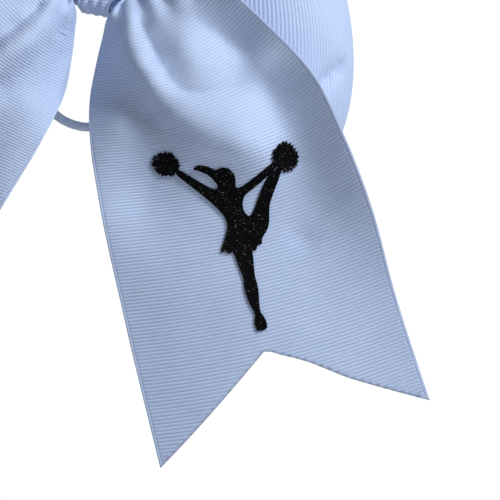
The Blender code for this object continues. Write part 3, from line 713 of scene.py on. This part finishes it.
def wrap_section():
    """(y, z) round the wrap's rounded rectangle, from the middle of its back."""
    half_depth, half_height = WRAP_DEPTH / 2 - WRAP_INSET, WRAP_HEIGHT / 2 - WRAP_INSET
    points = [(half_depth, 0.0)]
    for quarter, (side_y, side_z) in enumerate(((1, 1), (-1, 1), (-1, -1), (1, -1))):
        for step in range(WRAP_CORNER_STEPS + 1):
            angle = math.pi / 2 * (quarter + step / WRAP_CORNER_STEPS)
            points.append((
                side_y * (half_depth - WRAP_CORNER) + WRAP_CORNER * math.cos(angle),
                side_z * (half_height - WRAP_CORNER) + WRAP_CORNER * math.sin(angle),
            ))
    points.append((half_depth, 0.0))
    points = np.array(points)
    points[:, 0] -= WRAP_DEPTH / 2
    return points


def wrap_surface():
    """The wrap as a function of millimetres across and along it: once round and a lap."""
    section = wrap_section()
    lengths = np.linalg.norm(np.diff(section, axis=0), axis=1)
    keys = np.concatenate([[0.0], np.cumsum(lengths)])
    total = keys[-1]
    length = total + WRAP_LAP

    def surface(across, along):
        start = along - WRAP_LAP / 2
        key = start % total
        y, z = np.interp(key, keys, section[:, 0]), np.interp(key, keys, section[:, 1])
        under = smoothstep((WRAP_LAP * 0.75 - along) / 4.0)
        turned = smoothstep((np.abs(z) - WRAP_PINCH_FROM) / (WRAP_PINCH_TO - WRAP_PINCH_FROM))
        half = WRAP_HALF_WIDTH - (WRAP_HALF_WIDTH - WRAP_PINCHED_HALF_WIDTH) * turned
        share = across / (WRAP_RIBBON_WIDTH / 2) - 1.0
        front = smoothstep((-y - 8.0) / 10.0)
        depth = WRAP_PLEAT_DEPTH + WRAP_FRONT_PLEAT_DEPTH * front
        depth = depth + WRAP_TURNED_PLEAT_DEPTH * turned
        wave = np.cos(math.tau * WRAP_PLEATS * share + WRAP_PLEAT_START) - 1.0
        pleat = depth * wave * (1.0 - share**8)
        outward = np.stack([y + WRAP_DEPTH / 2, z], axis=-1)
        outward = outward / np.linalg.norm(outward, axis=-1, keepdims=True)
        box_y = smoothstep((np.abs(outward[..., 0]) - 0.45) / 0.25) * np.sign(outward[..., 0])
        box_z = (1.0 - np.abs(box_y)) * np.sign(outward[..., 1])
        inset = pleat - WRAP_LAP_STEP * under
        return np.stack([share * half, y + box_y * inset, z + box_z * inset], axis=-1)

    return surface, length


def make_wrap(finish):
    surface, length = wrap_surface()
    column = ribbon_columns(WRAP_RIBBON_WIDTH, WRAP_INNER_COLUMNS)
    row = np.arange(0.0, length, RIB_PITCH / ROWS_PER_RIB)
    across, along = np.meshgrid(column, row)
    base = surface(across, along)
    normals = surface_normals(surface, across, along)
    seal = np.clip(1.0 - np.minimum(along, along.max() - along) / SEAL_WIDTH, 0.0, 1.0)
    rib = rib_relief(across, along, WRAP_RIBBON_WIDTH) * (1.0 - smoothstep(seal * SEAL_REACH))
    half = WRAP_CLOTH_HALF + WRAP_RIB_HEIGHT * rib + WRAP_SEAL_HEIGHT * seal
    facts = {"rib": rib, "seal": seal, "cloth": flat_place(across, along)}
    return cloth_object("centre_wrap_ribbon", base, normals, half, facts, finish), length


def superellipse(angle, half_depth, half_height):
    """(y, z) round the knot's squarish oval."""
    power_y = np.sign(np.cos(angle)) * np.abs(np.cos(angle)) ** KNOT_SQUARENESS
    power_z = np.sign(np.sin(angle)) * np.abs(np.sin(angle)) ** KNOT_SQUARENESS
    return KNOT_Y + half_depth * power_y, half_height * power_z


def make_gather(finish):
    """The pleated bundle of ribbon inside the wrap, nipped at its waist by the cable tie."""
    around = np.linspace(0.0, math.tau, GATHER_STEPS + 1)[:-1]
    length = np.linspace(-GATHER_HALF_LENGTH, GATHER_HALF_LENGTH, GATHER_RINGS)
    x, angle = np.meshgrid(length, around, indexing="ij")
    waist = 1.0 - smoothstep((np.abs(x) - WAIST_HALF_LENGTH) / WAIST_SLOPE)
    end = smoothstep(np.abs(x) - GATHER_HALF_LENGTH + 1.0)
    rib = rib_height(x)
    wave = 1.0 + np.cos(GATHER_PLEATS * angle + 0.4 * np.sin(3 * angle))
    pleat = GATHER_PLEAT_DEPTH * wave * (1.0 - waist)
    inset = WAIST_DEPTH * waist + pleat + 0.15 * (1.0 - rib) + 0.8 * end
    half_height = GATHER_HALF_HEIGHT + GATHER_SWELL * (1.0 - waist) - inset
    y, z = superellipse(angle, GATHER_HALF_DEPTH - inset, half_height)
    rings, steps = x.shape
    index = np.arange(rings * steps).reshape(rings, steps)
    after = np.roll(index, -1, axis=1)
    quads = np.stack([index[:-1], after[:-1], after[1:], index[1:]], axis=-1).reshape(-1, 4)
    mesh = bpy.data.meshes.new("gathered_ribbon_centre")
    points = np.stack([x, y, z], axis=-1).reshape(-1, 3) * MM
    caps = [index[0][::-1].tolist(), index[-1].tolist()]
    mesh.from_pydata(points.tolist(), [], quads.tolist() + caps)
    set_fact(mesh, "rib", rib.ravel())
    set_fact(mesh, "seal", np.zeros(rib.size))
    set_fact(mesh, "cloth", flat_place(angle * 10.0, x).reshape(-1, 3))
    mesh.materials.append(finish)
    mesh.shade_smooth()
    return place_object("gathered_ribbon_centre", mesh)


# ---------------------------------------------------------------- elastic


def braided_tube(name, path, finish):
    """A round cord with a woven cover: two crossing sets of yarns raised a little."""
    path = np.asarray(path)
    tangent = np.gradient(path, axis=0)
    tangent /= np.linalg.norm(tangent, axis=1, keepdims=True)
    side = np.array([0.0, 1.0, 0.0])
    other = np.cross(tangent, side)
    other /= np.linalg.norm(other, axis=1, keepdims=True)
    gone = np.concatenate([[0.0], np.cumsum(np.linalg.norm(np.diff(path, axis=0), axis=1))])
    angle = np.linspace(0.0, math.tau, TUBE_STEPS + 1)[:-1]
    turn = math.tau * gone[:, None] / YARN_TURN_LENGTH
    yarn = np.sin(YARNS * (angle + turn)) * np.sin(YARNS * (angle - turn))
    radius = ELASTIC_DIAMETER / 2 - YARN_HEIGHT + YARN_HEIGHT * yarn
    ends = np.minimum(gone, gone[-1] - gone)[:, None]
    full = smoothstep(ends / TUBE_END_LENGTH)
    radius = radius * (TUBE_END_RADIUS + (1.0 - TUBE_END_RADIUS) * full)
    points = (
        path[:, None]
        + radius[..., None] * np.cos(angle)[None, :, None] * side
        + radius[..., None] * np.sin(angle)[None, :, None] * other[:, None]
    )
    index = np.arange(points.shape[0] * TUBE_STEPS).reshape(-1, TUBE_STEPS)
    after = np.roll(index, -1, axis=1)
    quads = np.stack([index[:-1], index[1:], after[1:], after[:-1]], axis=-1).reshape(-1, 4)
    caps = [index[0].tolist(), index[-1][::-1].tolist()]
    mesh = bpy.data.meshes.new(name)
    mesh.from_pydata((points.reshape(-1, 3) * MM).tolist(), [], quads.tolist() + caps)
    # the material darkens the colour where this yarn relief is low, as painted shade between the
    # yarns
    set_fact(mesh, "yarn", (0.5 + 0.5 * yarn).ravel())
    mesh.materials.append(finish)
    mesh.shade_smooth()
    form = bmesh.new()
    form.from_mesh(mesh)
    bmesh.ops.recalc_face_normals(form, faces=form.faces)
    form.to_mesh(mesh)
    form.free()
    return place_object(name, mesh)


def make_elastic(finish):
    """The free loop as one cord, and the short run of it held inside the wrap."""
    route = even_path(smooth_path(ELASTIC_ROUTE, 1200), ELASTIC_RINGS)
    path = np.column_stack([route[:, 0], np.full(len(route), ELASTIC_Y), route[:, 1]])
    loop = braided_tube("ponytail_elastic_loop", path, finish)
    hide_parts("elastic_strand_right", "elastic_strand_left", "elastic_bend")
    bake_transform(loop)

    low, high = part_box("elastic_anchor")
    held = np.linspace(low.x / MM, high.x / MM, ELASTIC_HELD_RINGS)
    straight = np.column_stack([
        held, np.full(len(held), ELASTIC_Y), np.full(len(held), ELASTIC_EXIT_Z)])
    anchor = braided_tube("elastic_held_end", straight, finish)
    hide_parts("elastic_anchor")
    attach(anchor, "knot")


# ---------------------------------------------------------------- decal


def rounded_outline(points, times):
    """Cuts the corners of a closed outline, so that it reads as a smooth curve."""
    points = np.asarray(points, float)
    for _ in range(times):
        after = np.roll(points, -1, axis=0)
        step = CORNER_CUT * (after - points)
        points = np.stack([points + step, after - step], axis=1).reshape(-1, 2)
    return points


def pompom_outline(centre, seed):
    """A ragged burst of cut streamers."""
    chance = np.random.default_rng(seed)
    long, short = POMPOM_RADII
    points = []
    for spike in range(2 * POMPOM_SPIKES):
        uneven = chance.uniform(-POMPOM_UNEVENNESS, POMPOM_UNEVENNESS)
        angle = math.pi * (spike + uneven) / POMPOM_SPIKES
        radius = (short if spike % 2 else long) + chance.uniform(*POMPOM_RAGGEDNESS)
        points.append((
            centre[0] + radius * math.cos(angle),
            centre[1] + radius * math.sin(angle),
        ))
    return points


def flat_prism(name, outline):
    """An upright prism on a closed outline in the XY plane, one unit high."""
    form = bmesh.new()
    corners = [form.verts.new((x, y, 0.0)) for x, y in outline]
    base = form.faces.new(corners)
    raised = bmesh.ops.extrude_face_region(form, geom=[base])
    tops = [item for item in raised["geom"] if isinstance(item, bmesh.types.BMVert)]
    bmesh.ops.translate(form, vec=(0.0, 0.0, 1.0), verts=tops)
    bmesh.ops.recalc_face_normals(form, faces=form.faces)
    mesh = bpy.data.meshes.new(name)
    form.to_mesh(mesh)
    form.free()
    return place_object(name, mesh)


def make_decal(finish):
    """The silhouette as one thin prism, cut into a fine grid and laid on the right tail."""
    decal = flat_prism("cheerleader_glitter_decal", rounded_outline(FIGURE, DECAL_SMOOTHINGS))
    helpers = []
    for number, centre in enumerate(POMPOMS):
        pompom = flat_prism(f"pompom_{number}", pompom_outline(centre, number + 3))
        join = decal.modifiers.new("Pompom", "BOOLEAN")
        join.operation = "UNION"
        join.object = pompom
        helpers.append(pompom)
    graph = bpy.context.evaluated_depsgraph_get()
    joined = bpy.data.meshes.new_from_object(decal.evaluated_get(graph))
    form = bmesh.new()
    form.from_mesh(joined)
    bpy.data.meshes.remove(joined)
    decal.modifiers.clear()
    for helper in helpers:
        bpy.data.objects.remove(helper, do_unlink=True)
    bmesh.ops.triangulate(form, faces=form.faces)
    for axis, (low, high) in enumerate(DECAL_SPAN):
        for place in np.arange(low, high, DECAL_CUT_SPACING):
            at, normal = [0.0, 0.0, 0.0], [0.0, 0.0, 0.0]
            at[axis] = float(place)
            normal[axis] = 1.0
            everything = form.verts[:] + form.edges[:] + form.faces[:]
            bmesh.ops.bisect_plane(form, geom=everything, plane_co=at, plane_no=normal)
    bmesh.ops.remove_doubles(form, verts=form.verts, dist=DECAL_WELD)
    bmesh.ops.triangulate(form, faces=form.faces)
    places = np.array([vert.co for vert in form.verts], float)
    laid = lay_on_tail(places)
    for vert, point in zip(form.verts, laid):
        vert.co = point
    form.to_mesh(decal.data)
    form.free()
    set_fact(decal.data, "cloth", places)
    decal.data.materials.append(finish)
    decal.data.shade_smooth()
    decal.data.set_sharp_from_angle(angle=math.radians(DECAL_SHARP_ANGLE))
    return decal


def lay_on_tail(places):
    """Moves points of the flat decal, with height 0 or 1, onto the front of the right tail."""
    surface = tail_surface(0)
    turn = math.radians(DECAL_TURN)
    cosine, sine = math.cos(turn), math.sin(turn)
    across = DECAL_PLACE[0] + cosine * places[:, 0] - sine * places[:, 1]
    along = DECAL_PLACE[1] + sine * places[:, 0] + cosine * places[:, 1]
    here = surface(across, along)
    normal = surface_normals(surface, across, along)
    lift = CLOTH_HALF + RIB_HEIGHT + DECAL_GAP + places[:, 2] * DECAL_THICKNESS
    return (here + normal * lift[:, None]) * MM


# ---------------------------------------------------------------- materials


class Nodes:
    """Builds one material's node tree with short calls."""

    def __init__(self, name):
        self.material = bpy.data.materials.new(name)
        self.material.use_nodes = True
        self.tree = self.material.node_tree
        self.shader = self.tree.nodes["Principled BSDF"]

    def add(self, kind, inputs=None, **settings):
        node = self.tree.nodes.new(kind)
        for name, value in settings.items():
            setattr(node, name, value)
        for name, value in (inputs or {}).items():
            self.feed(node, name, value)
        return node

    def feed(self, node, name, value):
        if isinstance(value, bpy.types.NodeSocket):
            self.tree.links.new(value, node.inputs[name])
        else:
            node.inputs[name].default_value = value

    def shade(self, **values):
        for name, value in values.items():
            self.feed(self.shader, name.replace("_", " "), value)

    def attribute(self, name):
        return self.add("ShaderNodeAttribute", attribute_name=name)

    def math(self, operation, first, second=0.0):
        return self.add("ShaderNodeMath", {0: first, 1: second}, operation=operation).outputs[0]

    def mix(self, factor, first, second):
        node = self.add("ShaderNodeMix", data_type="RGBA")
        self.feed(node, 0, factor)
        self.feed(node, 6, first)
        self.feed(node, 7, second)
        return node.outputs[2]

    def noise(self, vector, scale, detail=2.0, roughness=0.5):
        inputs = {"Vector": vector, "Scale": scale, "Detail": detail, "Roughness": roughness}
        return self.add("ShaderNodeTexNoise", inputs).outputs["Fac"]

    def stretched(self, vector, scale):
        node = self.add("ShaderNodeVectorMath", {0: vector, 1: scale}, operation="MULTIPLY")
        return node.outputs["Vector"]

    def ramp(self, factor, stops):
        node = self.add("ShaderNodeValToRGB", {0: factor})
        elements = node.color_ramp.elements
        while len(elements) < len(stops):
            elements.new(0.5)
        for element, (place, colour) in zip(elements, stops):
            element.position = place
            element.color = (*colour, 1.0)
        return node.outputs["Color"]

    def bump(self, height, strength, distance, before=None):
        node = self.add("ShaderNodeBump", {
            "Height": height, "Strength": strength, "Distance": distance})
        if before is not None:
            self.feed(node, "Normal", before)
        return node.outputs["Normal"]


def ribbon_material(name):
    """White polyester grosgrain: satin ribs, fine warp threads across them, a sealed cut."""
    nodes = Nodes(name)
    place = nodes.attribute("cloth").outputs["Vector"]
    rib = nodes.attribute("rib").outputs["Fac"]
    seal = nodes.attribute("seal").outputs["Fac"]
    mottled = nodes.noise(place, 0.09, detail=3.0)
    threads = nodes.noise(nodes.stretched(place, (3.4, 0.35, 1.0)), 1.0, detail=1.0)
    fuzz = nodes.noise(place, 2.6, detail=4.0, roughness=0.65)
    # the colour is darker where the rib relief is low: painted shade in the grooves, in the
    # selvage's groove and at its hem, on top of the real ribbed relief
    rib_colour_with_groove_shade = nodes.ramp(rib, ((0.05, RIBBON_GROOVE_SHADE), (0.62, RIBBON_CREST)))
    shade = nodes.ramp(mottled, ((0.3, (0.93, 0.94, 0.96)), (0.7, (1.0, 1.0, 1.0))))
    colour = nodes.add("ShaderNodeMix", data_type="RGBA", blend_type="MULTIPLY")
    nodes.feed(colour, 0, 1.0)
    nodes.feed(colour, 6, rib_colour_with_groove_shade)
    nodes.feed(colour, 7, shade)
    sealed = nodes.mix(nodes.math("MULTIPLY", seal, 0.55), colour.outputs[2],
                       (0.33, 0.36, 0.42, 1.0))
    height = nodes.math("ADD", nodes.math("MULTIPLY", threads, 0.7),
                        nodes.math("MULTIPLY", fuzz, 0.3))
    rough = nodes.ramp(fuzz, ((0.3, (0.50,) * 3), (0.7, (0.64,) * 3)))
    nodes.shade(Base_Color=sealed, Roughness=rough,
                Normal=nodes.bump(height, 0.35, 0.00006))
    nodes.shader.inputs["Specular IOR Level"].default_value = 0.32
    nodes.shader.inputs["Sheen Weight"].default_value = 0.12
    nodes.shader.inputs["Sheen Roughness"].default_value = 0.4
    return nodes.material


def glitter_material():
    """Black vinyl crowded with coarse flakes, a few of which catch the light."""
    nodes = Nodes("black_glitter_vinyl_fine")
    place = nodes.attribute("cloth").outputs["Vector"]
    flakes = nodes.add("ShaderNodeTexVoronoi", {"Vector": place, "Scale": 3.4})
    chance = nodes.add("ShaderNodeSeparateColor", {0: flakes.outputs["Color"]})
    lit = nodes.add("ShaderNodeMapRange", {
        "Value": chance.outputs[0], "From Min": 0.93, "From Max": 0.95}).outputs[0]
    centre = nodes.add("ShaderNodeMapRange", {
        "Value": flakes.outputs["Distance"], "From Min": 0.34, "From Max": 0.2}).outputs[0]
    spark = nodes.math("MULTIPLY", lit, centre)
    tint = nodes.mix(chance.outputs[1], (0.95, 0.80, 0.52, 1.0), (0.88, 0.92, 1.0, 1.0))
    dark = nodes.mix(chance.outputs[2], (0.0005, 0.0005, 0.0008, 1.0), (0.003, 0.003, 0.0035, 1.0))
    nodes.shade(Base_Color=nodes.mix(spark, dark, tint), Metallic=spark,
                Roughness=nodes.math("SUBTRACT", 0.5, nodes.math("MULTIPLY", spark, 0.22)),
                Normal=nodes.bump(flakes.outputs["Distance"], 0.9, 0.00022))
    nodes.shader.inputs["Specular IOR Level"].default_value = 0.06
    return nodes.material


def elastic_material():
    nodes = Nodes("woven_white_elastic")
    yarn = nodes.attribute("yarn").outputs["Fac"]
    place = nodes.add("ShaderNodeTexCoord").outputs["Object"]
    fuzz = nodes.noise(place, 2600.0, detail=3.0)
    # darker where the yarn relief is low: painted shade in the hollows between the braided yarns
    colour = nodes.ramp(yarn, ((0.1, (0.52, 0.58, 0.72)), (0.75, (0.84, 0.90, 1.0))))
    nodes.shade(Base_Color=colour, Roughness=0.75, Normal=nodes.bump(fuzz, 0.5, 0.00008))
    nodes.shader.inputs["Sheen Weight"].default_value = 0.2
    return nodes.material


def nylon_material():
    nodes = Nodes("moulded_natural_nylon")
    place = nodes.add("ShaderNodeTexCoord").outputs["Object"]
    cloudy = nodes.noise(place, 240.0, detail=3.0)
    grain = nodes.noise(place, 3000.0, detail=2.0)
    colour = nodes.ramp(cloudy, ((0.3, (0.70, 0.70, 0.65)), (0.7, (0.82, 0.82, 0.78))))
    nodes.shade(Base_Color=colour, Roughness=0.38, Normal=nodes.bump(grain, 0.3, 0.00004))
    nodes.shader.inputs["Subsurface Weight"].default_value = 0.15
    nodes.shader.inputs["Subsurface Scale"].default_value = 0.001
    return nodes.material


def glue_material():
    nodes = Nodes("set_hot_glue")
    place = nodes.add("ShaderNodeTexCoord").outputs["Object"]
    ripple = nodes.noise(place, 500.0, detail=2.0)
    colour = nodes.ramp(ripple, ((0.3, (0.70, 0.66, 0.54)), (0.7, (0.80, 0.78, 0.70))))
    nodes.shade(Base_Color=colour, Roughness=0.22, Normal=nodes.bump(ripple, 0.4, 0.0003))
    nodes.shader.inputs["Subsurface Weight"].default_value = 0.3
    nodes.shader.inputs["Subsurface Scale"].default_value = 0.001
    return nodes.material


def crimp_material():
    nodes = Nodes("drawn_crimp_metal")
    place = nodes.add("ShaderNodeTexCoord").outputs["Object"]
    drawn = nodes.noise(nodes.stretched(place, (300.0, 4200.0, 4200.0)), 1.0, detail=3.0)
    rough = nodes.ramp(drawn, ((0.3, (0.26,) * 3), (0.7, (0.44,) * 3)))
    nodes.shade(Base_Color=(0.62, 0.62, 0.64, 1.0), Metallic=1.0, Roughness=rough,
                Normal=nodes.bump(drawn, 0.3, 0.00005))
    return nodes.material


def floor_material():
    """Plain pale floor, seen as white as the backdrop."""
    nodes = Nodes("pale_floor")
    nodes.shade(Base_Color=(0.60, 0.60, 0.61, 1.0), Roughness=0.9)
    seen = nodes.add("ShaderNodeLightPath").outputs["Is Camera Ray"]
    white = nodes.add("ShaderNodeEmission", {"Strength": BACKDROP})
    mix = nodes.add("ShaderNodeMixShader", {0: seen})
    nodes.feed(mix, 1, nodes.shader.outputs[0])
    nodes.feed(mix, 2, white.outputs[0])
    nodes.tree.links.new(mix.outputs[0], nodes.tree.nodes["Material Output"].inputs["Surface"])
    return nodes.material


# ---------------------------------------------------------------- camera and light


def tilted(right, up, toward):
    """A direction in the bow's frame from one in the camera's picture."""
    roll = math.radians(CAMERA_ROLL)
    across = Vector((math.cos(roll), 0.0, math.sin(roll)))
    above = Vector((-math.sin(roll), 0.0, math.cos(roll)))
    return right * across + up * above + toward * Vector((0.0, -1.0, 0.0))


def make_camera():
    data = bpy.data.cameras.new("camera")
    data.lens = CAMERA_LENS
    data.sensor_width = CAMERA_SENSOR
    camera = place_object("camera", data)
    axes = Matrix((tilted(1, 0, 0), tilted(0, 1, 0), tilted(0, 0, 1))).transposed()
    camera.matrix_world = axes.to_4x4()
    camera.location = (
        CAMERA_CENTRE[0] * MM, (TAIL_PLANE_Y - CAMERA_DISTANCE) * MM, CAMERA_CENTRE[1] * MM)
    bpy.context.scene.camera = camera


def make_light(name, direction, distance, size, power, colour=(1.0, 1.0, 1.0)):
    data = bpy.data.lights.new(name, "AREA")
    data.size = size
    data.energy = power
    data.color = colour
    light = place_object(name, data)
    light.visible_camera = False
    aim_x, aim_z = (value * LIGHT_AIM_SHARE for value in CAMERA_CENTRE)
    target = Vector((aim_x, TAIL_PLANE_Y, aim_z)) * MM
    light.location = target + direction.normalized() * distance
    light.rotation_euler = direction.to_track_quat("Z", "Y").to_euler()


def make_surroundings():
    make_light("key", tilted(0.62, 0.56, 0.55), 0.7, 0.24, 4.4, (0.90, 0.95, 1.0))
    make_light("fill", tilted(-0.55, 0.1, 0.85), 0.9, 0.8, 0.3)
    make_light("back", tilted(0.25, 0.5, -0.85), 0.8, 0.7, 3.0, (0.93, 0.96, 1.0))
    world = bpy.data.worlds.new("studio")
    bpy.context.scene.world = world
    world.use_nodes = True
    tree = world.node_tree
    tree.nodes.clear()
    ambient = tree.nodes.new("ShaderNodeBackground")
    ambient.inputs["Strength"].default_value = AMBIENT
    backdrop = tree.nodes.new("ShaderNodeBackground")
    backdrop.inputs["Strength"].default_value = BACKDROP
    for background in (ambient, backdrop):
        background.inputs["Color"].default_value = (1.0, 1.0, 1.0, 1.0)
    seen = tree.nodes.new("ShaderNodeLightPath")
    mix = tree.nodes.new("ShaderNodeMixShader")
    out = tree.nodes.new("ShaderNodeOutputWorld")
    tree.links.new(seen.outputs["Is Camera Ray"], mix.inputs[0])
    tree.links.new(ambient.outputs[0], mix.inputs[1])
    tree.links.new(backdrop.outputs[0], mix.inputs[2])
    tree.links.new(mix.outputs[0], out.inputs["Surface"])

    level = cad_box[0].z - FLOOR_DROP
    bpy.ops.mesh.primitive_plane_add(size=FLOOR_SIZE, location=(0.0, 0.0, level))
    floor = bpy.context.object
    floor.name = "floor"
    floor.data.materials.append(floor_material())
    view = bpy.context.scene.view_settings
    view.view_transform = "Standard"
    view.look = "None"


# ---------------------------------------------------------------- the bow


def blend_root(piece):
    """Applies the ribbon's placement to its mesh."""
    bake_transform(piece)


def make_bow():
    make_elastic(elastic_material())
    ribbon = ribbon_material("white_grosgrain_fine")
    wrap_finish = ribbon_material("white_wrap_grosgrain")
    for word, side, seed in (("right", 1.0, 0), ("left", -1.0, 1)):
        tail = make_tail(f"{word}_tail_ribbon", side, seed, ribbon)
        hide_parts(f"{word}_tail")
        blend_root(tail)
        loop = make_loop(f"{word}_loop_ribbon", side, seed, ribbon)
        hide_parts(f"{word}_loop")
        blend_root(loop)

    gather = make_gather(ribbon)
    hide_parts("gathered_centre")
    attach(gather, "knot")
    wrap, wrap_length = make_wrap(wrap_finish)
    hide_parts("centre_wrap")
    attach(wrap, "knot")
    decal = make_decal(glitter_material())
    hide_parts("cheerleader_decal")
    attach(decal, "right_tail")

    finishes = {
        "cable_tie": nylon_material(),
        "elastic_crimp": crimp_material(),
    }
    glue = glue_material()
    for place in ("wrap_glue_dab", "elastic_glue_dab"):
        for word in ("left", "right"):
            finishes[f"{place}_{word}"] = glue
    for node, finish in finishes.items():
        frame["nodes"][node].data.materials.clear()
        frame["nodes"][node].data.materials.append(finish)


make_camera()
make_surroundings()
make_bow()
